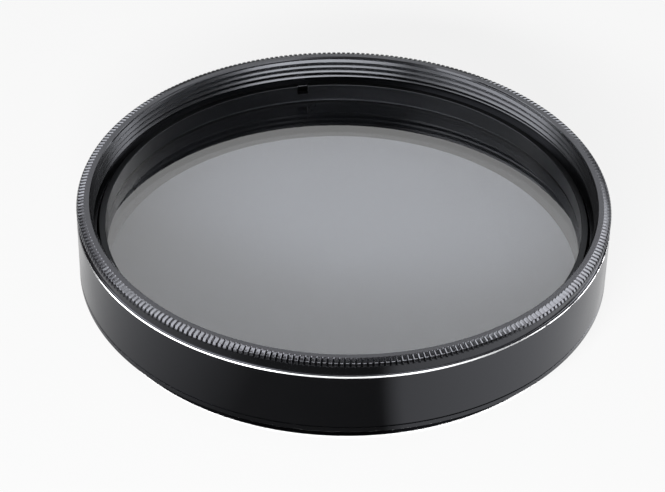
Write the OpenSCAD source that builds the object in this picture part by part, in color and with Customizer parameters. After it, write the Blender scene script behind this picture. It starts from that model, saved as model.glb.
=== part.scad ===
// Moon filter for a telescope eyepiece, in millimetres.
// A grey glass disc lies on a seat in a turned black cell, under a slotted ring.
// The thread axis is Z. The male thread points down and its end face lies at Z = 0.
// The rim stands at the top, and its mouth holds the female thread.

/* [Threads] */
// Nominal diameter of the male and the female filter thread
thread_d = 48; // [44:0.5:52]
// Pitch of both filter threads
thread_pitch = 0.6; // [0.5:0.05:0.75]
// Height of the male thread's collar below the body
male_h = 1.65; // [1.3:0.05:3]
// Width of the lead chamfer at the male thread's end
lead_chamfer = 0.1; // [0.05:0.05:0.3]
// Height of the groove where the male thread runs out under the body
runout_h = 0.3; // [0.2:0.05:0.6]
// Depth of the female thread below the rim's face
female_h = 2.25; // [1.8:0.05:2.5]
// Height of the undercut below the female thread
undercut_h = 0.75; // [0.5:0.05:1]
// Reach of the undercut beyond the thread's nominal radius
undercut_depth = 0.1; // [0.05:0.05:0.4]

/* [Body] */
// Thickness of the body's wall outside the thread's nominal radius
wall = 1.2; // [1:0.05:2]
// Height of the plain body
body_h = 6.3; // [5.5:0.05:9]
// Width of the bright chamfer round the body's top edge
body_chamfer = 0.1; // [0.05:0.05:0.2]
// Height of the fine turned line above the body's lower edge
line_h = 0.5; // [0.2:0.05:1.2]
// Width of the fine turned line
line_w = 0.16; // [0.08:0.02:0.24]
// Depth of the fine turned line
line_depth = 0.1; // [0.04:0.02:0.2]

/* [Rim] */
// Height of the plain neck between the body and the rim
neck_h = 1; // [0.6:0.1:2]
// Depth of the neck inside the body's outer face
neck_depth = 0.25; // [0.25:0.05:0.45]
// Height of the rim's upright side
rim_side_h = 0.2; // [0.15:0.05:0.6]
// Height of the steep bevel above the rim's upright side
steep_h = 0.25; // [0.15:0.05:0.4]
// Width of the steep bevel
steep_w = 0.15; // [0.1:0.05:0.25]
// Height of the shallow bevel between the steep one and the flat face
shallow_h = 0.15; // [0.1:0.05:0.2]
// Width of the flat face between the mouth and the shallow bevel
face_w = 0.5; // [0.3:0.05:0.6]

/* [Knurl] */
// Number of knurled grooves round the rim
knurl_count = 315; // [240:5:330]
// Depth of the knurled grooves, square to the side and the bevels
knurl_depth = 0.13; // [0.08:0.01:0.18]
// Width of each knurled groove at the rim's side
groove_w = 0.24; // [0.16:0.01:0.32]

/* [Glass] */
// Thickness of the glass disc
glass_t = 1; // [0.8:0.1:1.6]
// Radial gap between the glass and the pocket's wall
glass_gap = 0.2; // [0.05:0.05:0.3]
// Width of the bevel ground on both edges of the glass
glass_bevel = 0.15; // [0.05:0.05:0.3]
// Width of the seat that carries the glass
seat_w = 0.5; // [0.35:0.05:1.2]

/* [Retaining ring] */
// Height of the retaining ring
ring_h = 1.7; // [1.4:0.05:2.2]
// Depth of the ring's top face below the end of the female thread
ring_drop = 0.3; // [0.1:0.05:0.4]
// Width of the retaining ring from its bore to its outer face
ring_w = 0.7; // [0.6:0.05:1.4]
// Step by which the ring's pocket is narrower than the female thread
pocket_step = 0.3; // [0.25:0.05:0.5]
// Radial gap between the ring and the pocket's wall
ring_gap = 0.1; // [0.05:0.05:0.2]
// Width of the chamfer round the ring's top outer edge
ring_chamfer = 0.1; // [0.05:0.05:0.3]
// Width of each of the two key slots across the ring
slot_w = 1.1; // [0.8:0.1:1.6]
// Depth of the key slots
slot_depth = 0.9; // [0.5:0.1:1.2]
// Direction of the first key slot, in degrees from the X axis
slot_angle = 101.4; // [0:0.2:180]

/* [Hidden] */
$fn = 200;

// A 60 degree thread's flank depth as a share of its pitch
thread_share = 0.5413;
thread_depth = thread_share * thread_pitch;
// What a cutter reaches past the face that it cuts
overcut = 0.3;

// Radii, from the thread outward and inward
thread_r = thread_d / 2;
minor_r = thread_r - thread_depth;
cell_r = thread_r + wall;
neck_r = cell_r - neck_depth;
bevel_r = cell_r - steep_w;
face_r = thread_r + face_w;
undercut_r = thread_r + undercut_depth;
pocket_r = minor_r - pocket_step;
ring_r = pocket_r - ring_gap;
ring_bore_r = ring_r - ring_w;
glass_r = pocket_r - glass_gap;
bore_r = glass_r - seat_w;

// Heights of the outside, from the male thread's end up
body_z = male_h;
ledge_z = body_z + body_h;
rim_z = ledge_z + neck_h;
corner_z = rim_z + rim_side_h;
bevel_z = corner_z + steep_h;
top_z = bevel_z + shallow_h;

// Heights of the inside, from the rim's face down
female_z = top_z - female_h;
undercut_z = female_z - undercut_h;
ring_top_z = female_z - ring_drop;
glass_top_z = ring_top_z - ring_h;
seat_z = glass_top_z - glass_t;

// The cell's half section as it leaves the lathe, before knurling
module cell_section() {
    difference() {
        polygon([
            [bore_r, 0],
            [thread_r - lead_chamfer, 0],
            [thread_r, lead_chamfer],
            [thread_r, body_z - runout_h],
            [minor_r, body_z - runout_h],
            [minor_r, body_z],
            [cell_r, body_z],
            [cell_r, ledge_z - body_chamfer],
            [cell_r - body_chamfer, ledge_z],
            [neck_r, ledge_z],
            [neck_r, rim_z],
            [cell_r, rim_z],
            [cell_r, corner_z],
            [bevel_r, bevel_z],
            [face_r, top_z],
            [thread_r, top_z],
            [minor_r, top_z - thread_depth],
            [minor_r, female_z],
            [undercut_r, female_z],
            [undercut_r, undercut_z],
            [pocket_r, undercut_z],
            [pocket_r, seat_z],
            [bore_r, seat_z]
        ]);
        translate([cell_r - line_depth, body_z + line_h])
            square([line_depth + overcut, line_w]);
    }
}

// The knurl's crest in the half section, from below the rim to just past the flat face's edge
crest = let (past_face = 0.05) [
    [cell_r, rim_z - overcut],
    [cell_r, corner_z],
    [bevel_r, bevel_z],
    [face_r, top_z] + past_face * [face_r - bevel_r, shallow_h]
];

// Outward normal of the crest's stretch that ends at point i
function normal(i) = let (run = crest[i] - crest[i - 1]) [run[1], -run[0]] / norm(run);

// Root of the groove under the crest's point i, one depth inside both stretches that meet there
function root(i) =
    i == 0 ? crest[0] - knurl_depth * normal(1) :
    i == len(crest) - 1 ? crest[i] - [0, knurl_depth / normal(i)[1]] :
    crest[i] - knurl_depth * (normal(i) + normal(i + 1)) / (1 + normal(i) * normal(i + 1));

// One groove of the knurl, as the solid that the wheel presses away.
// It runs up the rim's side and over both bevels, and ends at the flat face.
module knurl_groove() {
    // How far past the crest the flanks are carried, as a share of the groove's depth
    past = 0.12;
    points = [for (i = [0 : len(crest) - 1])
        let (
            out = crest[i] + past * (crest[i] - root(i)),
            half_w = groove_w / 2 * crest[i][0] / cell_r * (1 + past)
        )
        each [[root(i)[0], 0, root(i)[1]], [out[0], -half_w, out[1]], [out[0], half_w, out[1]]]
    ];
    sides = [for (level = [0 : len(crest) - 2], side = [0 : 2])
        let (a = 3 * level + side, b = 3 * level + (side + 1) % 3)
        each [[a, b + 3, b], [a, a + 3, b + 3]]
    ];
    last = 3 * (len(crest) - 1);
    polyhedron(points, concat([[0, 1, 2]], sides, [[last, last + 2, last + 1]]));
}

// Turned and knurled cell: male thread collar, body, neck, rim, pocket and glass seat
module filter_cell() {
    color("#26272a")
        difference() {
            rotate_extrude() cell_section();
            for (i = [0 : knurl_count - 1])
                rotate(i * 360 / knurl_count) knurl_groove();
        }
}

// Slotted ring that screws down on the glass
module retaining_ring() {
    color("#2c2d30")
        difference() {
            rotate_extrude()
                polygon([
                    [ring_bore_r, glass_top_z],
                    [ring_r, glass_top_z],
                    [ring_r, ring_top_z - ring_chamfer],
                    [ring_r - ring_chamfer, ring_top_z],
                    [ring_bore_r, ring_top_z]
                ]);
            for (turn = [0, 180])
                rotate(slot_angle + turn)
                    translate([ring_bore_r - overcut, -slot_w / 2, ring_top_z - slot_depth])
                        cube([ring_w + 2 * overcut, slot_w, slot_depth + overcut]);
        }
}

// Neutral grey glass disc with ground edges
module filter_glass() {
    color("#6b6f73")
        rotate_extrude()
            polygon([
                [0, seat_z],
                [glass_r - glass_bevel, seat_z],
                [glass_r, seat_z + glass_bevel],
                [glass_r, glass_top_z - glass_bevel],
                [glass_r - glass_bevel, glass_top_z],
                [0, glass_top_z]
            ]);
}

filter_cell();
retaining_ring();
filter_glass();
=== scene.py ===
"""Looks of a telescope moon filter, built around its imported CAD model.

A turned and knurled black cell holds a grey glass disc under a slotted lock ring.
Lengths are in metres. Z is the thread axis and Z = 0 is the male thread's end face.
Azimuths are measured from the -Y axis, which faces the camera, towards +X.
"""

import math

import bmesh
import bpy
import numpy as np
from bpy.props import FloatProperty, FloatVectorProperty, IntProperty, PointerProperty
from mathutils import Matrix, Vector


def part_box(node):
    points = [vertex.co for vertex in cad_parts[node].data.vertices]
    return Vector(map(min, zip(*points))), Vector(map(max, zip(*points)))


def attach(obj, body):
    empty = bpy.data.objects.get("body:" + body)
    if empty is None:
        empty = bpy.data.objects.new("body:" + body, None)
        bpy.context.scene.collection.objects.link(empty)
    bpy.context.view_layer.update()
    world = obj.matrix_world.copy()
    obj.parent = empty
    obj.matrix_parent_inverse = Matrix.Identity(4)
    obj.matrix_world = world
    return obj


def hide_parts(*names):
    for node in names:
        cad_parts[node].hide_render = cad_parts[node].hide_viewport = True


bl_info = {
    "name": "Moon Filter",
    "version": (1, 0, 0),
    "blender": (4, 5, 0),
    "location": "View3D > Sidebar > Moon Filter",
    "description": "Builds a knurled telescope moon filter with its glass, lock ring and stage",
    "category": "Add Mesh",
}

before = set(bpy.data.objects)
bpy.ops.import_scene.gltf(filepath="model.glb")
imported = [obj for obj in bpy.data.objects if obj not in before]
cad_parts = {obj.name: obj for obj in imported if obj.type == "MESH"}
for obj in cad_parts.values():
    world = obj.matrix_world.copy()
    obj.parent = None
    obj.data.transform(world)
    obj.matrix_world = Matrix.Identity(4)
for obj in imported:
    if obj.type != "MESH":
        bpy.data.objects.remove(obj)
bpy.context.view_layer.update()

MM = 0.001
CELL_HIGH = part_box("filter_cell")[1]
RING_LOW, RING_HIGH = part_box("retaining_ring")
GLASS_LOW, GLASS_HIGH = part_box("filter_glass")


# Settings


def length(name, description, default):
    """A length property in metres."""
    return FloatProperty(
        name=name,
        description=description,
        default=default,
        min=0,
        precision=5,
        unit="LENGTH",
        subtype="DISTANCE",
    )


def angle(name, description, degrees):
    """An angle property, given in degrees."""
    return FloatProperty(
        name=name, description=description, default=math.radians(degrees), subtype="ANGLE"
    )


def colour(name, description, hex_code):
    """A colour property, given as the sRGB hex code of the finish."""
    return FloatVectorProperty(
        name=name,
        description=description,
        default=linear(hex_code),
        min=0,
        max=1,
        size=3,
        subtype="COLOR",
    )


def linear(hex_code):
    """Turns an sRGB hex code into linear red, green and blue."""
    values = [int(hex_code[i : i + 2], 16) / 255 for i in (1, 3, 5)]
    return tuple(v / 12.92 if v <= 0.04045 else ((v + 0.055) / 1.055) ** 2.4 for v in values)


class CellSettings(bpy.types.PropertyGroup):
    """Sizes of the turned and knurled cell."""

    thread_r: length("Thread radius", "Nominal radius of both filter threads", 24 * MM)
    thread_pitch: length("Thread pitch", "Rise of both threads in one turn", 0.6 * MM)
    thread_depth: length("Thread depth", "Depth of the thread's flanks", 0.325 * MM)
    thread_seen: length("Female thread's depth", "Depth of the turns in the mouth", 0.23 * MM)
    body_z: length("Body's foot", "Height where the plain body begins", 1.65 * MM)
    runout_z: length("Runout", "Height where the male thread runs out", 1.35 * MM)
    ledge_z: length("Ledge", "Height of the body's bright top edge", 7.95 * MM)
    chamfer: length("Chamfer", "Width of the bright cut chamfer", 0.1 * MM)
    neck_depth: length("Neck depth", "Depth of the neck inside the body's face", 0.25 * MM)
    rim_z: length("Rim's underside", "Height of the knurled rim's underside", 8.95 * MM)
    corner_z: length("Rim's corner", "Height where the rim's side meets its bevels", 9.15 * MM)
    steep_h: length("Steep bevel's height", "Height of the steep lower bevel", 0.25 * MM)
    steep_w: length("Steep bevel's width", "Width of the steep lower bevel", 0.15 * MM)
    shoulder: length("Shoulder", "How far the rim's corners are rounded", 0.04 * MM)
    face_w: length("Face width", "Width of the flat face round the mouth", 0.5 * MM)
    line_z: length("Line height", "Height of the fine turned line", 2.15 * MM)
    line_w: length("Line width", "Width of the fine turned line", 0.16 * MM)
    undercut_r: length("Undercut radius", "Radius of the undercut below the female thread", 24.1 * MM)
    female_z: length("Thread's end", "Height where the female thread ends", 7.3 * MM)
    undercut_z: length("Undercut's floor", "Height of the undercut's floor", 6.55 * MM)
    bore_r: length("Bore radius", "Radius of the light path below the glass", 22.675 * MM)
    edge: length("Edge break", "Width of the break on the turned edges", 0.05 * MM)
    teeth: IntProperty(name="Teeth", description="Knurled grooves round the rim", default=315, min=60)
    groove: length("Groove depth", "Depth of the knurl, square to the rim", 0.13 * MM)
    groove_w: length("Groove width", "Width of each groove at the rim's side", 0.24 * MM)


class RingSettings(bpy.types.PropertyGroup):
    """Sizes of the slotted lock ring."""

    width: length("Width", "Width from the bore to the outer face", 0.7 * MM)
    chamfer: length("Chamfer", "Chamfer round the top outer edge", 0.1 * MM)
    slot_w: length("Slot width", "Width of the two key slots", 1.1 * MM)
    slot_depth: length("Slot depth", "Depth of the two key slots", 0.9 * MM)
    slot_angle: angle("Slot angle", "Direction of the first slot from the X axis", 101.4)
    thread_pitch: length("Thread pitch", "Rise of the ring's own fine thread", 0.35 * MM)
    thread_depth: length("Thread depth", "Depth of the ring's own fine thread", 0.18 * MM)


class GlassSettings(bpy.types.PropertyGroup):
    """Sizes of the glass disc."""

    bevel: length("Ground bevel", "Width of the bevel ground on both edges", 0.15 * MM)


class FinishSettings(bpy.types.PropertyGroup):
    """Colours of the finishes."""

    anodised: colour("Black anodising", "Tone of the black anodised faces", "#595a5e")
    # Partly painted shade: the mouth's anodising is set darker than the outside, as well as duller
    inside: colour("Black inside", "Tone of the cell's duller black inside", "#444548")
    # Painted shade: the pocket, seat and lower bore take a far darker copy of the cell's anodised
    # tone
    bore: colour("Black bore", "Tone of the pocket, the seat and the lower bore", "#252628")
    bright_cut: colour("Bright cut", "Tone of the bright cut chamfer", "#e4e4e6")
    # Partly painted shade: the ring's own satin black takes the same dark tone as the pocket's
    # painted shade
    ring_black: colour("Ring's anodising", "Tone of the lock ring", "#252628")
    glass_tint: colour("Glass tint", "Tone of the neutral grey glass", "#a6a8ac")
    ground_glass: colour("Ground glass", "Tone of the ground edge of the grey glass", "#26282a")


class StageSettings(bpy.types.PropertyGroup):
    """Camera, lights, floor and backdrop."""

    lens: FloatProperty(
        name="Lens", description="Focal length in mm on a 36 mm sensor", default=130, min=20
    )
    light_distance: length("Light distance", "Distance of the soft lights", 0.5)
    floor_size: length("Floor size", "Side of the pale floor", 2.4)
    floor_white: colour("Floor", "Tone of the pale floor", "#f2f2f2")


# Meshes

# Material numbers of the cell's bands and of the glass's faces
ANODISED, BRIGHT, INSIDE_DULL_SHADED, PAINTED_SHADE_BORE = range(4)
POLISHED, GROUND = range(2)

# Angle between two faces from which the edge between them shades sharp
SHARP_EDGE = math.radians(22)
# Points nearer than this are one point
MERGE_DISTANCE = 1e-7

# Shares of the pitch where a thread's root ends, its crest begins and its crest ends
THREAD_PHASES = (0.25, 0.5625, 0.6875)


def piece_from(name, mesh, materials, node):
    """Makes the object of one piece that stands for a CAD node."""
    obj = bpy.data.objects.new(name, mesh)
    bpy.context.scene.collection.objects.link(obj)
    for material in materials:
        mesh.materials.append(material)
    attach(obj, "root")
    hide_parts(node)


def lathe_mesh(name, points, bands):
    """Closed mesh from a grid of points.

    points has one row per station of the half section and one column per angle, of which the
    last repeats the first. bands holds the material number of the strip above each row.
    """
    rows, columns = points.shape[:2]
    i, j = np.meshgrid(np.arange(rows), np.arange(columns - 1), indexing="ij")
    below = i * columns
    above = (i + 1) % rows * columns
    faces = np.stack([below + j, below + j + 1, above + j + 1, above + j], -1).reshape(-1, 4)
    mesh = bpy.data.meshes.new(name)
    mesh.from_pydata(points.reshape(-1, 3).tolist(), [], faces.tolist())
    mesh.polygons.foreach_set("material_index", np.repeat(bands, columns - 1).astype(np.int32))
    work = bmesh.new()
    work.from_mesh(mesh)
    bmesh.ops.remove_doubles(work, verts=work.verts, dist=MERGE_DISTANCE)
    bmesh.ops.dissolve_degenerate(work, edges=work.edges, dist=MERGE_DISTANCE / 10)
    bmesh.ops.recalc_face_normals(work, faces=work.faces)
    work.to_mesh(mesh)
    work.free()
    finish_mesh(mesh)
    return mesh


def finish_mesh(mesh):
    """Smooth shading with sharp machined edges."""
    mesh.polygons.foreach_set("use_smooth", [True] * len(mesh.polygons))
    mesh.set_sharp_from_angle(angle=SHARP_EDGE)
    mesh.update()


class Section:
    """Collects the rows of a lathe grid along the half section, outside first."""

    def __init__(self, angles):
        self.angles = angles
        self.r = []
        self.z = []
        self.bands = []

    def row(self, r, z, band=ANODISED):
        """One row, with one radius and height for all columns or one for each."""
        self.r.append(np.broadcast_to(r, self.angles.shape))
        self.z.append(np.broadcast_to(z, self.angles.shape))
        self.bands.append(band)

    def thread(self, crest_r, root_r, low, high, pitch, limit, upward=True, band=ANODISED):
        """Rows that follow a right-handed thread between two heights.

        limit(z) is the radius of the lead chamfer there, which the crests don't pass.
        """
        turns = math.ceil((high - low) / pitch + 1)
        stations = [turn - 1 + phase for turn in range(turns + 1) for phase in (0, *THREAD_PHASES)]
        if not upward:
            stations.reverse()
        wave_x = (0, *THREAD_PHASES, 1)
        wave_r = (root_r, root_r, crest_r, crest_r, root_r)
        clip = np.minimum if crest_r > root_r else np.maximum
        lead = self.angles / (2 * math.pi)
        # Keeps a whole turn from being rounded down to the turn below it
        tiny_share = 1e-9
        for station in stations:
            z = np.clip(low + pitch * (station + lead), low, high)
            phase = (z - low) / pitch - lead
            r = np.interp(phase - np.floor(phase + tiny_share), wave_x, wave_r)
            self.row(clip(r, limit(z)), z, band)

    def mesh(self, name):
        """The closed mesh of all rows."""
        r, z = np.array(self.r), np.array(self.z)
        points = np.stack([r * np.cos(self.angles), r * np.sin(self.angles), z], -1)
        return lathe_mesh(name, points, self.bands)


def even_angles(count):
    """Column angles of a full turn, with the first one repeated at the end."""
    return np.arange(count + 1) * 2 * math.pi / count


def rounded(points, cut):
    """The half section's points with each inner corner turned into a small curve."""
    curve_points = 4
    points = [np.array(p) for p in points]
    curve = [points[0]]
    for before, corner, after in zip(points, points[1:], points[2:]):
        start = corner + (before - corner) / np.linalg.norm(before - corner) * cut
        end = corner + (after - corner) / np.linalg.norm(after - corner) * cut
        for t in np.linspace(0, 1, curve_points):
            curve.append((1 - t) ** 2 * start + 2 * t * (1 - t) * corner + t * t * end)
    return curve + [points[-1]]


def roots(crest, depth):
    """The groove's root under each crest point, one depth inside the neighbouring stretches."""
    runs = np.diff(crest, axis=0)
    normals = np.stack([runs[:, 1], -runs[:, 0]], 1) / np.linalg.norm(runs, axis=1)[:, None]
    found = [crest[0] - depth * normals[0]]
    for point, n, m in zip(crest[1:-1], normals, normals[1:]):
        found.append(point - depth * (n + m) / (1 + n @ m))
    # At the flat face the groove ends in an upright wall
    found.append(crest[-1] - np.array([0, depth / normals[-1][1]]))
    return found


def tooth_angles(s):
    """Column angles of the cell, three a tooth: the groove's root and its crest's two edges."""
    half_groove = s.groove_w / 2 / CELL_HIGH.x
    tooth = np.arange(s.teeth) * 2 * math.pi / s.teeth
    following = tooth + 2 * math.pi / s.teeth
    angles = np.stack([tooth, tooth + half_groove, following - half_groove], 1)
    return np.append(angles.reshape(-1), 2 * math.pi)


def groove_shares(s, rng):
    """How deep each column lies in its groove, from 0 on the crests to 1 at a full root.

    The wheel doesn't press every groove alike, and five on the left are worn.
    """
    press_spread, shallowest = 0.05, 0.8
    worn_press, worn_count, worn_angle = 0.75, 5, 214.5
    press = np.clip(1 + rng.normal(0, press_spread, s.teeth), shallowest, 1)
    last_worn = round(worn_angle / 360 * s.teeth)
    press[last_worn - np.arange(worn_count)] = worn_press
    shares = np.zeros(3 * s.teeth + 1)
    shares[::3] = np.append(press, press[0])
    return shares


def chamfer_widths(s, angles, rng):
    """Width of the bright chamfer in each column.

    It is narrower on the left, and thin and nicked on the right, where the filter was handled.
    """
    left_from, left_over, left_loss = 5, 20, 0.25
    handled_from, handled_over, handled_to, handled_loss = 32, 22, 150, 0.65
    nicked_share, nick_loss = 0.25, 0.7
    azimuth = np.degrees(np.arctan2(np.cos(angles), -np.sin(angles)))
    left = np.clip((-azimuth - left_from) / left_over, 0, 1)
    handled = np.clip((azimuth - handled_from) / handled_over, 0, 1) * (azimuth < handled_to)
    nicks = np.repeat(rng.random(s.teeth) < nicked_share, 3)
    nicks = np.append(nicks, nicks[0])
    thinner = 1 - left_loss * left - handled_loss * handled
    return s.chamfer * thinner * (1 - nick_loss * nicks * handled)


def cell_outside(section, s, cut):
    """Underside, male thread, plain body and neck, up to the rim."""
    cell_r = CELL_HIGH.x
    minor_r = s.thread_r - s.thread_depth
    neck_r = cell_r - s.neck_depth
    edge = s.edge
    lead_chamfer = 0.1 * MM
    runout_slope = 1.5
    foot = 1.6 * edge
    line_r = cell_r - 0.09 * MM
    line_flank = 0.03 * MM
    # Underside and male thread
    section.row(s.bore_r + edge, 0)
    section.row(minor_r, 0)
    section.thread(
        s.thread_r, minor_r, 0, s.runout_z, s.thread_pitch,
        lambda z: np.minimum(
            s.thread_r - lead_chamfer + z, minor_r + (s.runout_z - z) * runout_slope
        ),
    )
    section.row(minor_r, s.runout_z)
    section.row(minor_r, s.body_z - edge)
    section.row(minor_r + edge, s.body_z)
    # Plain body with its fine line
    section.row(cell_r - foot, s.body_z)
    section.row(cell_r, s.body_z + foot)
    section.row(cell_r, s.line_z)
    section.row(line_r, s.line_z + line_flank)
    section.row(line_r, s.line_z + s.line_w - line_flank)
    section.row(cell_r, s.line_z + s.line_w)
    # Bright chamfer and neck
    section.row(cell_r, s.ledge_z - cut, BRIGHT)
    section.row(cell_r - cut, s.ledge_z)
    section.row(neck_r + edge / 2, s.ledge_z)
    section.row(neck_r, s.ledge_z + edge / 2)
    section.row(neck_r, s.rim_z - edge / 2)
    section.row(neck_r + edge / 2, s.rim_z)


def knurled_rim(section, s, shares):
    """The rim's side, rounded shoulder and bevels, up to the flat face."""
    cell_r, top_z = CELL_HIGH.x, CELL_HIGH.z
    face_r = s.thread_r + s.face_w

    def knurled_row(crest, root):
        """A row that dips from the crest point to the root point in each groove."""
        section.row(
            crest[0] + (root[0] - crest[0]) * shares, crest[1] + (root[1] - crest[1]) * shares
        )

    crest = rounded(
        [
            (cell_r, s.rim_z + s.edge),
            (cell_r, s.corner_z),
            (cell_r - s.steep_w, s.corner_z + s.steep_h),
            (face_r, top_z),
        ],
        s.shoulder,
    )
    knurled_row((cell_r - s.edge, s.rim_z), (cell_r - s.groove, s.rim_z))
    for point, root in zip(crest, roots(crest, s.groove)):
        knurled_row(point, root)
    section.row(face_r - s.edge, top_z)


def cell_inside(section, s):
    """Flat face, female thread, undercut, pocket, seat and lower bore."""
    top_z = CELL_HIGH.z
    seat_z = GLASS_LOW.z
    minor_r = s.thread_r - s.thread_depth
    ring_gap = 0.1 * MM
    pocket_r = RING_HIGH.x + ring_gap
    section.row(s.thread_r + s.edge, top_z)
    section.thread(
        minor_r, minor_r + s.thread_seen, s.female_z, top_z, s.thread_pitch,
        lambda z: s.thread_r - (top_z - z), upward=False, band=INSIDE_DULL_SHADED,
    )
    section.row(s.undercut_r, s.female_z, INSIDE_DULL_SHADED)
    section.row(s.undercut_r, s.undercut_z, INSIDE_DULL_SHADED)
    section.row(pocket_r + s.edge / 2, s.undercut_z, INSIDE_DULL_SHADED)
    # From here down the bands carry the painted shade of the pocket, seat and bore
    section.row(pocket_r, s.undercut_z - s.edge / 2, PAINTED_SHADE_BORE)
    section.row(pocket_r, seat_z, PAINTED_SHADE_BORE)
    section.row(s.bore_r, seat_z, PAINTED_SHADE_BORE)
    section.row(s.bore_r, s.edge)


def build_cell(s):
    """The cell as one closed mesh: threads, body, neck, knurled rim, pocket and seat."""
    rng = np.random.default_rng(7)
    angles = tooth_angles(s)
    shares = groove_shares(s, rng)
    section = Section(angles)
    cell_outside(section, s, chamfer_widths(s, angles, rng))
    knurled_rim(section, s, shares)
    cell_inside(section, s)
    return section.mesh("knurled_cell")


def build_ring(s):
    """The lock ring as one closed mesh with its fine thread and two key slots."""
    outer, low, high = RING_HIGH.x, RING_LOW.z, RING_HIGH.z
    bore = outer - s.width
    root_r = outer - s.thread_depth
    thread_top = high - s.chamfer
    edge = 0.04 * MM
    columns = 360
    section = Section(even_angles(columns))
    section.row(bore, low)
    section.row(root_r, low)
    section.thread(
        outer, root_r, low, thread_top, s.thread_pitch,
        lambda z: root_r + np.minimum(z - low, thread_top - z),
    )
    section.row(root_r, thread_top)
    section.row(outer - s.chamfer - edge, high)
    section.row(bore + edge, high)
    section.row(bore, high - edge)
    mesh = section.mesh("lock_ring")
    # How far the cutter stands above the ring
    clear = 1 * MM
    for turn in (0, math.pi):
        mesh = cut_box(
            mesh,
            centre=Vector((bore + s.width / 2, 0, high - s.slot_depth / 2 + clear / 2)),
            size=Vector((2 * s.width, s.slot_w, s.slot_depth + clear)),
            turn=s.slot_angle + turn,
        )
    finish_mesh(mesh)
    return mesh


def cut_box(mesh, centre, size, turn):
    """Cuts a box, turned about Z, out of a mesh and returns the new mesh."""
    body = bpy.data.objects.new("cut_body", mesh)
    box_mesh = bpy.data.meshes.new("cut_box")
    work = bmesh.new()
    bmesh.ops.create_cube(work, size=1)
    place = Matrix.Rotation(turn, 4, "Z") @ Matrix.Translation(centre) @ Matrix.Diagonal((*size, 1))
    bmesh.ops.transform(work, matrix=place, verts=work.verts)
    work.to_mesh(box_mesh)
    work.free()
    cutter = bpy.data.objects.new("cutter", box_mesh)
    for obj in (body, cutter):
        bpy.context.scene.collection.objects.link(obj)
    cut = body.modifiers.new("slot", "BOOLEAN")
    cut.operation = "DIFFERENCE"
    cut.solver = "EXACT"
    cut.object = cutter
    bpy.context.view_layer.update()
    evaluated = body.evaluated_get(bpy.context.evaluated_depsgraph_get())
    result = bpy.data.meshes.new_from_object(evaluated)
    result.name = mesh.name
    for obj in (body, cutter):
        bpy.data.objects.remove(obj)
    return result


def build_glass(s):
    """The glass disc as one closed mesh with ground edges."""
    outer, low, high = GLASS_HIGH.x, GLASS_LOW.z, GLASS_HIGH.z
    count = 256
    levels = [
        (outer - s.bevel, low),
        (outer, low + s.bevel),
        (outer, high - s.bevel),
        (outer - s.bevel, high),
    ]
    angles = even_angles(count)[:-1]
    verts = [(r * math.cos(a), r * math.sin(a), z) for r, z in levels for a in angles]
    faces = [tuple(reversed(range(count)))]
    for level in range(len(levels) - 1):
        below = level * count
        above = below + count
        for i in range(count):
            following = (i + 1) % count
            faces.append((below + i, below + following, above + following, above + i))
    faces.append(tuple(range(above, above + count)))
    mesh = bpy.data.meshes.new("glass_disc")
    mesh.from_pydata(verts, [], faces)
    for polygon in mesh.polygons:
        polygon.material_index = POLISHED if len(polygon.vertices) == count else GROUND
    finish_mesh(mesh)
    return mesh


# Materials


def add(tree, kind, inputs=None, **settings):
    """Adds one node. An input that is given as a socket is linked, any other is set."""
    made = tree.nodes.new(kind)
    for key, value in settings.items():
        setattr(made, key, value)
    for key, value in (inputs or {}).items():
        if isinstance(value, bpy.types.NodeSocket):
            tree.links.new(value, made.inputs[key])
        else:
            made.inputs[key].default_value = value
    return made


def new_material(name):
    """A material and its empty node tree."""
    material = bpy.data.materials.new(name)
    material.use_nodes = True
    material.node_tree.nodes.clear()
    return material, material.node_tree


def rgba(tone):
    """Linear colour with full alpha."""
    return (*tone, 1.0)


def turned_metal(name, base, roughness, spread, mark_depth):
    """Turned metal: the lathe leaves fine rings, which draw the highlights out a little."""
    # Distance of the tool's marks, and width of the clouds in which the gloss changes
    ring_marks = 0.05 * MM
    cloud_size = 4 * MM
    material, tree = new_material(name)
    place = add(tree, "ShaderNodeTexCoord")
    split = add(tree, "ShaderNodeSeparateXYZ", {0: place.outputs["Object"]})
    flat = add(tree, "ShaderNodeCombineXYZ", {"X": split.outputs["X"], "Y": split.outputs["Y"]})
    radius = add(tree, "ShaderNodeVectorMath", {0: flat.outputs[0]}, operation="LENGTH")
    rings = add(
        tree, "ShaderNodeCombineXYZ", {"X": radius.outputs["Value"], "Y": split.outputs["Z"]}
    )
    # The marks follow the radius and the height, so they run round the axis
    marks = add(
        tree, "ShaderNodeTexNoise",
        {"Vector": rings.outputs[0], "Scale": 1 / ring_marks, "Detail": 2.0},
        noise_dimensions="2D",
    )
    cloud = add(
        tree, "ShaderNodeTexNoise",
        {"Vector": place.outputs["Object"], "Scale": 1 / cloud_size, "Detail": 3.0},
    )
    gloss = add(
        tree, "ShaderNodeMapRange",
        {"Value": cloud.outputs["Fac"], "From Min": 0.3, "From Max": 0.7,
         "To Min": roughness - spread, "To Max": roughness + spread},
    )
    bump = add(
        tree, "ShaderNodeBump",
        {"Height": marks.outputs["Fac"], "Strength": 1.0, "Distance": mark_depth},
    )
    metal = add(
        tree, "ShaderNodeBsdfPrincipled",
        {"Base Color": rgba(base), "Metallic": 1.0,
         "Roughness": gloss.outputs["Result"], "Normal": bump.outputs["Normal"]},
    )
    add(tree, "ShaderNodeOutputMaterial", {"Surface": metal.outputs[0]})
    return material


def semi_gloss_anodised_aluminium(tone):
    """Turned and anodised black: each soft light shows in it as a clear band with a soft edge."""
    return turned_metal("semi_gloss_anodised_aluminium", tone, 0.2, 0.03, 0.0006 * MM)


def bright_cut_aluminium(tone):
    """Cut after the anodising: bare metal, which the eye sees as one thin bright line."""
    return turned_metal("bright_cut_aluminium", tone, 0.22, 0.02, 0.0004 * MM)


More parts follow.
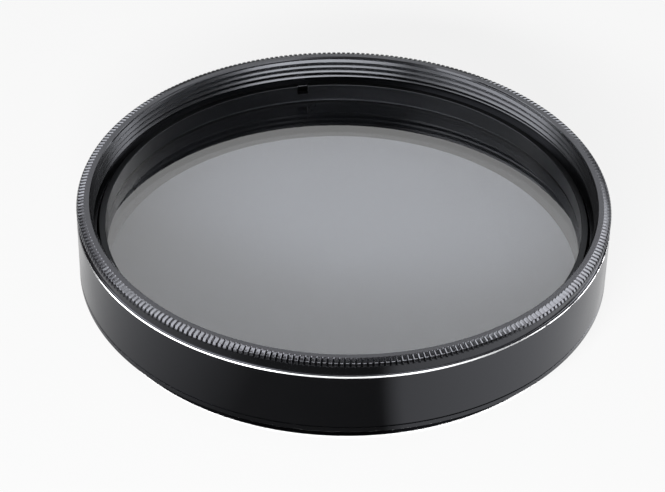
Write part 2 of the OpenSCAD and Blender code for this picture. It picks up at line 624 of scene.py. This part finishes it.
def dull_shaded_anodised_aluminium(tone):
    """Threads and undercut: a duller black, its tone also set darker than the outside as painted
    shade, in which the turns show as soft grey bands.
    """
    return turned_metal("dull_shaded_anodised_aluminium", tone, 0.24, 0.03, 0.0008 * MM)


def painted_shade_bore_aluminium(tone):
    """Pocket, seat and lower bore: painted shade, a far darker copy of the cell's anodising, so that
    the glass has a black border.
    """
    return turned_metal("painted_shade_bore_aluminium", tone, 0.3, 0.03, 0.0008 * MM)


def satin_shaded_anodised_aluminium(tone):
    """The lock ring: fine satin black, its tone set as dark as the pocket's painted shade, which
    shows a faint sheen and no clear reflection.
    """
    return turned_metal("satin_shaded_anodised_aluminium", tone, 0.36, 0.04, 0.0015 * MM)


def neutral_grey_glass(tint):
    """Polished grey glass: clear and mirror-smooth, it dims what lies behind it without a hue."""
    material, tree = new_material("neutral_grey_glass")
    # A hard coat of higher index than the glass gives the face its strong mirror
    glass = add(
        tree, "ShaderNodeBsdfPrincipled",
        {"Base Color": rgba(tint), "Roughness": 0.0, "IOR": 1.52, "Transmission Weight": 1.0,
         "Coat Weight": 1.0, "Coat Roughness": 0.0, "Coat IOR": 1.7},
    )
    # Light falls through the glass on what lies below it
    shade = add(tree, "ShaderNodeBsdfTransparent", {"Color": rgba(tint)})
    path = add(tree, "ShaderNodeLightPath")
    mixed = add(
        tree, "ShaderNodeMixShader",
        {0: path.outputs["Is Shadow Ray"], 1: glass.outputs[0], 2: shade.outputs[0]},
    )
    add(tree, "ShaderNodeOutputMaterial", {"Surface": mixed.outputs[0]})
    return material


def ground_grey_glass(tone):
    """Ground edge of grey glass: matt, with a dark tone."""
    material, tree = new_material("ground_grey_glass")
    matt = add(tree, "ShaderNodeBsdfPrincipled", {"Base Color": rgba(tone), "Roughness": 0.6})
    add(tree, "ShaderNodeOutputMaterial", {"Surface": matt.outputs[0]})
    return material


# Stage

# Name, azimuth, elevation, width and height in degrees, radiance, and what sees the light
SOFTBOXES = (
    ("right_softbox", 100, 13, 50, 34, 4.6, "gloss"),
    ("left_softbox", -75, 37, 62, 52, 4.6, "gloss"),
    ("left_back_panel", -138, 59, 30, 20, 4.6, "gloss"),
    ("right_back_panel", 140, 44, 32, 24, 4.6, "gloss"),
    ("front_panel", 0, 50, 60, 18, 1.1, "gloss"),
    ("chamfer_strip", 54, 46, 46, 12, 2.2, "gloss"),
    ("top_panel", 22, 70, 40, 20, 7.4, "gloss"),
    ("back_panel", 180, 36, 46, 26, 0.87, "gloss"),
    ("front_key", -13, 21.5, 40, 7, 128, "floor"),
)

# Strength of the floor's own white, and its share beside the paint that takes the shadow
FLOOR_GLOW = 0.93
GLOW_SHARE = 0.93
# Radius of the cell's foot, inside which the floor has no glow of its own
FOOT_R = 24 * MM

# Strength of the white that the eye sees round the object, and of the fill that lights it
WHITE = 1.0
FILL = 0.12

# Azimuth in degrees and linear grey along the card of painted reflection, and the strength of its
# brightest tone
PAINTED_REFLECTION_TONES = ((-100, 1.0), (-27, 0.1), (6, 0.07), (11, 0.55), (65, 1.0))
PAINTED_REFLECTION_GLOW = 0.85


def direction(azimuth, elevation):
    """Unit vector for an azimuth from -Y towards +X and an elevation, both in degrees."""
    a, e = math.radians(azimuth), math.radians(elevation)
    return Vector((math.sin(a) * math.cos(e), -math.cos(a) * math.cos(e), math.sin(e)))


def soft_light(name, azimuth, elevation, wide, high, radiance, seen_by, distance):
    """Rectangular softbox. wide and high are the angles that it fills, seen from the object."""
    data = bpy.data.lights.new(name, "AREA")
    data.shape = "RECTANGLE"
    data.size = 2 * distance * math.tan(math.radians(wide / 2))
    data.size_y = 2 * distance * math.tan(math.radians(high / 2))
    # The power of a panel is its radiance times pi times its area
    data.energy = radiance * math.pi * data.size * data.size_y
    light = bpy.data.objects.new(name, data)
    aim = direction(azimuth, elevation)
    side = Vector((0, 0, 1)).cross(aim).normalized()
    turn = Matrix((side, aim.cross(side), aim)).transposed().to_4x4()
    light.matrix_world = Matrix.Translation(aim * distance) @ turn
    light.visible_camera = False
    light.visible_diffuse = seen_by == "floor"
    light.visible_transmission = seen_by == "floor"
    light.visible_glossy = seen_by == "gloss"
    bpy.context.scene.collection.objects.link(light)


def make_camera(lens):
    """Camera at the photo's viewing angle, as fitted to the rim and the base."""
    data = bpy.data.cameras.new("photo_camera")
    data.lens = lens
    data.sensor_width = 36
    data.clip_start = 0.01
    camera = bpy.data.objects.new("photo_camera", data)
    right = Vector((0.9997, 0.0166, 0.0150))
    up = Vector((-0.0220, 0.5993, 0.8001))
    back = Vector((0.0044, -0.8003, 0.5996))
    turn = Matrix((right, up, back)).transposed().to_4x4()
    camera.matrix_world = Matrix.Translation((0, -184.46 * MM, 141.45 * MM)) @ turn
    bpy.context.scene.collection.objects.link(camera)
    bpy.context.scene.camera = camera


def stage_piece(name, verts, faces, material):
    """Makes one object of the stage, which isn't part of the filter."""
    mesh = bpy.data.meshes.new(name)
    mesh.from_pydata(verts, [], faces)
    mesh.materials.append(material)
    obj = bpy.data.objects.new(name, mesh)
    bpy.context.scene.collection.objects.link(obj)
    return obj


def pale_floor(tone):
    """Matt pale floor: near white to the eye and in reflections, with a faint shadow."""
    material, tree = new_material("pale_floor")
    paint = add(tree, "ShaderNodeBsdfDiffuse", {"Color": rgba(tone)})
    white = add(tree, "ShaderNodeEmission", {"Color": (1, 1, 1, 1), "Strength": FLOOR_GLOW})
    path = add(tree, "ShaderNodeLightPath")
    # Reflections see the glow too, but light that comes back up through the glass doesn't
    mirrored = add(
        tree, "ShaderNodeMath",
        {0: path.outputs["Is Glossy Ray"], 1: path.outputs["Is Transmission Ray"]},
        operation="SUBTRACT",
    )
    seen = add(
        tree, "ShaderNodeMath",
        {0: path.outputs["Is Camera Ray"], 1: mirrored.outputs[0]}, operation="MAXIMUM",
    )
    # Inside the cell the floor shows only the light that reaches it through the glass
    place = add(tree, "ShaderNodeTexCoord")
    radius = add(tree, "ShaderNodeVectorMath", {0: place.outputs["Object"]}, operation="LENGTH")
    outside = add(
        tree, "ShaderNodeMath", {0: radius.outputs["Value"], 1: FOOT_R}, operation="GREATER_THAN"
    )
    where = add(
        tree, "ShaderNodeMath", {0: seen.outputs[0], 1: outside.outputs[0]}, operation="MULTIPLY"
    )
    share = add(
        tree, "ShaderNodeMath", {0: where.outputs[0], 1: GLOW_SHARE}, operation="MULTIPLY"
    )
    mixed = add(
        tree, "ShaderNodeMixShader",
        {0: share.outputs[0], 1: paint.outputs[0], 2: white.outputs[0]},
    )
    add(tree, "ShaderNodeOutputMaterial", {"Surface": mixed.outputs[0]})
    return material


def make_floor(size, tone):
    """Square floor under the object."""
    half = size / 2
    verts = [(-half, -half, 0), (half, -half, 0), (half, half, 0), (-half, half, 0)]
    stage_piece("floor", verts, [(0, 1, 2, 3)], pale_floor(tone))


def painted_reflection_card(reach):
    """Glowing card that runs from dark to pale and shows only as a reflection: painted reflection in
    the cell's wall.
    """
    # The dark part's edge leans outward, in radians a metre
    edge_lean = -2.4
    material, tree = new_material("painted_reflection_card")
    place = add(tree, "ShaderNodeTexCoord")
    split = add(tree, "ShaderNodeSeparateXYZ", {0: place.outputs["Object"]})
    ahead = add(tree, "ShaderNodeMath", {0: split.outputs["Y"], 1: -1.0}, operation="MULTIPLY")
    turn = add(
        tree, "ShaderNodeMath", {0: split.outputs["X"], 1: ahead.outputs[0]}, operation="ARCTAN2"
    )
    radius = add(tree, "ShaderNodeVectorMath", {0: place.outputs["Object"]}, operation="LENGTH")
    lean = add(
        tree, "ShaderNodeMath", {0: radius.outputs["Value"], 1: edge_lean, 2: turn.outputs[0]},
        operation="MULTIPLY_ADD",
    )
    share = add(
        tree, "ShaderNodeMapRange", {"Value": lean.outputs[0], "From Min": -reach, "From Max": reach}
    )
    ramp = add(tree, "ShaderNodeValToRGB", {0: share.outputs["Result"]})
    while len(ramp.color_ramp.elements) < len(PAINTED_REFLECTION_TONES):
        ramp.color_ramp.elements.new(0.5)
    for element, (degrees, tone) in zip(ramp.color_ramp.elements, PAINTED_REFLECTION_TONES):
        element.position = (math.radians(degrees) / reach + 1) / 2
        element.color = (tone, tone, tone, 1)
    # The card glows, so its dark and pale tones are painted reflection, not light that falls on it
    glow = add(
        tree, "ShaderNodeEmission", {"Color": ramp.outputs["Color"], "Strength": PAINTED_REFLECTION_GLOW}
    )
    add(tree, "ShaderNodeOutputMaterial", {"Surface": glow.outputs[0]})
    return material


def make_painted_reflection_card():
    """Glowing card on the floor round the object, which only reflections show: it paints the cell
    wall's reflection.

    It is dark before the object and runs up to near the floor's own white at both ends.
    """
    inner, outer, lift = 24.1 * MM, 73 * MM, 0.02 * MM
    reach, steps = math.radians(110), 88
    verts = []
    for i in range(steps + 1):
        turn = reach * (2 * i / steps - 1)
        for radius in (inner, outer):
            verts.append((radius * math.sin(turn), -radius * math.cos(turn), lift))
    faces = [(2 * i, 2 * i + 1, 2 * i + 3, 2 * i + 2) for i in range(steps)]
    painted_reflection_piece = stage_piece("painted_reflection_piece", verts, faces, painted_reflection_card(reach))
    for kind in ("camera", "diffuse", "transmission", "shadow", "volume_scatter"):
        setattr(painted_reflection_piece, "visible_" + kind, False)


def make_world():
    """White surroundings for the eye, and a dim fill for the gloss and the rest."""
    world = bpy.data.worlds.new("studio")
    bpy.context.scene.world = world
    world.use_nodes = True
    tree = world.node_tree
    tree.nodes.clear()
    path = add(tree, "ShaderNodeLightPath")
    seen = add(
        tree, "ShaderNodeMath",
        {0: path.outputs["Is Camera Ray"], 1: path.outputs["Is Transmission Ray"]},
        operation="MAXIMUM",
    )
    # Light that the floor scatters finds the dim fill, also through the glass
    unscattered = add(
        tree, "ShaderNodeMath", {0: path.outputs["Diffuse Depth"], 1: 0.5}, operation="LESS_THAN"
    )
    white = add(
        tree, "ShaderNodeMath", {0: seen.outputs[0], 1: unscattered.outputs[0]},
        operation="MULTIPLY",
    )
    strength = add(
        tree, "ShaderNodeMapRange", {"Value": white.outputs[0], "To Min": FILL, "To Max": WHITE}
    )
    sky = add(
        tree, "ShaderNodeBackground",
        {"Color": (1, 1, 1, 1), "Strength": strength.outputs["Result"]},
    )
    add(tree, "ShaderNodeOutputWorld", {"Surface": sky.outputs[0]})


# Operators


class MOONFILTER_OT_cell(bpy.types.Operator):
    """Build the turned and knurled black cell"""

    bl_idname = "moonfilter.make_cell"
    bl_label = "Make Cell"

    def execute(self, context):
        tones = context.scene.moon_finish
        # In the order of the bands' numbers
        materials = [
            semi_gloss_anodised_aluminium(tones.anodised),
            bright_cut_aluminium(tones.bright_cut),
            dull_shaded_anodised_aluminium(tones.inside),
            painted_shade_bore_aluminium(tones.bore),
        ]
        mesh = build_cell(context.scene.moon_cell)
        piece_from("knurled_cell", mesh, materials, "filter_cell")
        return {"FINISHED"}


class MOONFILTER_OT_ring(bpy.types.Operator):
    """Build the slotted lock ring"""

    bl_idname = "moonfilter.make_ring"
    bl_label = "Make Ring"

    def execute(self, context):
        material = satin_shaded_anodised_aluminium(context.scene.moon_finish.ring_black)
        mesh = build_ring(context.scene.moon_ring)
        # The slots' cutting can leave an empty material slot
        mesh.materials.clear()
        piece_from("lock_ring", mesh, [material], "retaining_ring")
        return {"FINISHED"}


class MOONFILTER_OT_glass(bpy.types.Operator):
    """Build the neutral grey glass disc"""

    bl_idname = "moonfilter.make_glass"
    bl_label = "Make Glass"

    def execute(self, context):
        tones = context.scene.moon_finish
        # In the order of the faces' numbers
        materials = [neutral_grey_glass(tones.glass_tint), ground_grey_glass(tones.ground_glass)]
        mesh = build_glass(context.scene.moon_glass)
        piece_from("glass_disc", mesh, materials, "filter_glass")
        return {"FINISHED"}


class MOONFILTER_OT_stage(bpy.types.Operator):
    """Build the camera, the lights, the floor and the surroundings"""

    bl_idname = "moonfilter.make_stage"
    bl_label = "Make Stage"

    def execute(self, context):
        s = context.scene.moon_stage
        make_camera(s.lens)
        make_floor(s.floor_size, s.floor_white)
        make_painted_reflection_card()
        make_world()
        for softbox in SOFTBOXES:
            soft_light(*softbox, s.light_distance)
        context.scene.view_settings.view_transform = "Standard"
        return {"FINISHED"}


class MOONFILTER_PT_panel(bpy.types.Panel):
    """Lists the steps and the settings of the moon filter"""

    bl_label = "Moon Filter"
    bl_idname = "MOONFILTER_PT_panel"
    bl_space_type = "VIEW_3D"
    bl_region_type = "UI"
    bl_category = "Moon Filter"

    def draw(self, context):
        for operator in OPERATORS:
            self.layout.operator(operator.bl_idname)
        for name in GROUPS:
            group = getattr(context.scene, name)
            box = self.layout.box()
            for key in group.bl_rna.properties.keys():
                if key not in {"rna_type", "name"}:
                    box.prop(group, key)


GROUPS = {
    "moon_cell": CellSettings,
    "moon_ring": RingSettings,
    "moon_glass": GlassSettings,
    "moon_finish": FinishSettings,
    "moon_stage": StageSettings,
}
OPERATORS = (MOONFILTER_OT_cell, MOONFILTER_OT_ring, MOONFILTER_OT_glass, MOONFILTER_OT_stage)
CLASSES = (*GROUPS.values(), *OPERATORS, MOONFILTER_PT_panel)


def register():
    """Registers the classes and hangs the settings on the scene."""
    for cls in CLASSES:
        bpy.utils.register_class(cls)
    for name, cls in GROUPS.items():
        setattr(bpy.types.Scene, name, PointerProperty(type=cls))


def unregister():
    """Takes the settings and the classes away again."""
    for name in GROUPS:
        delattr(bpy.types.Scene, name)
    for cls in reversed(CLASSES):
        bpy.utils.unregister_class(cls)


def main():
    """Builds the pieces and the stage in order."""
    register()
    bpy.ops.moonfilter.make_cell()
    bpy.ops.moonfilter.make_ring()
    bpy.ops.moonfilter.make_glass()
    bpy.ops.moonfilter.make_stage()


if __name__ == "__main__":
    main()
